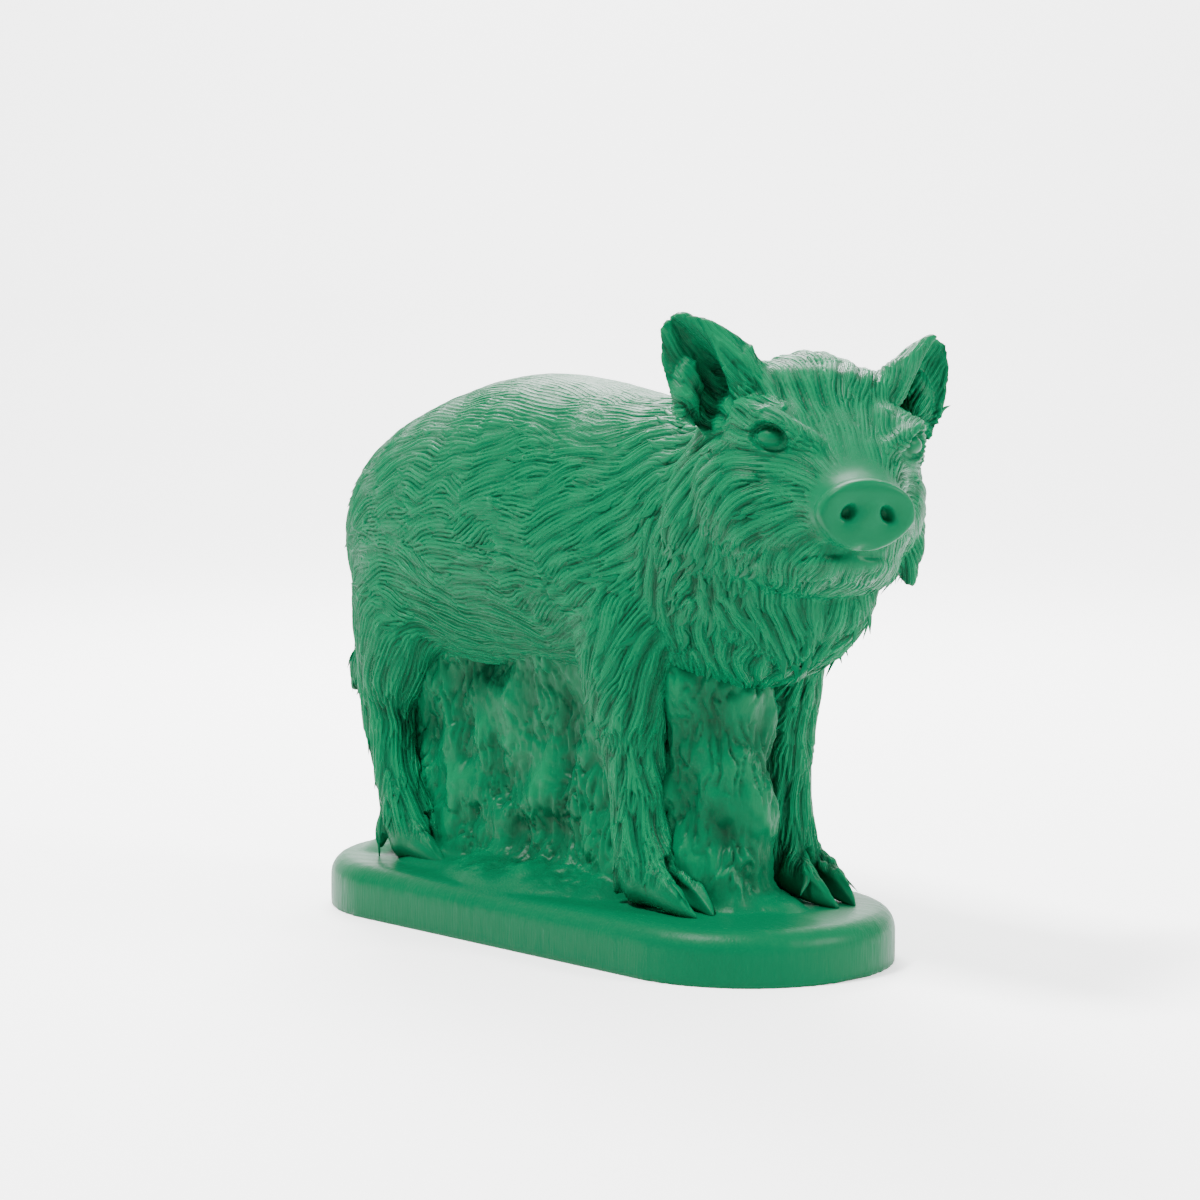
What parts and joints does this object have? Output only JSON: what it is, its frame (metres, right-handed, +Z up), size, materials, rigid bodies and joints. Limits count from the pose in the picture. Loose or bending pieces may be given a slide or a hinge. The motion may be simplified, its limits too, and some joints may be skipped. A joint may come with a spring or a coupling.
{
  "type": "piglet sculpture",
  "caption": "Young wild pig standing over a rough block of ground on a long plinth with rounded ends, cast in one piece.",
  "frame": {"origin": "centre of the plinth's underside", "axes": "+X the way the piglet's body faces, +Y to the piglet's left, +Z up"},
  "size_m": [0.691, 0.2368, 0.484],
  "materials": {
    "green_coat": "satin green, the same all over"
  },
  "bodies": {
    "root": {"piglet_sculpture": "green_coat"}
  },
  "joints": []
}
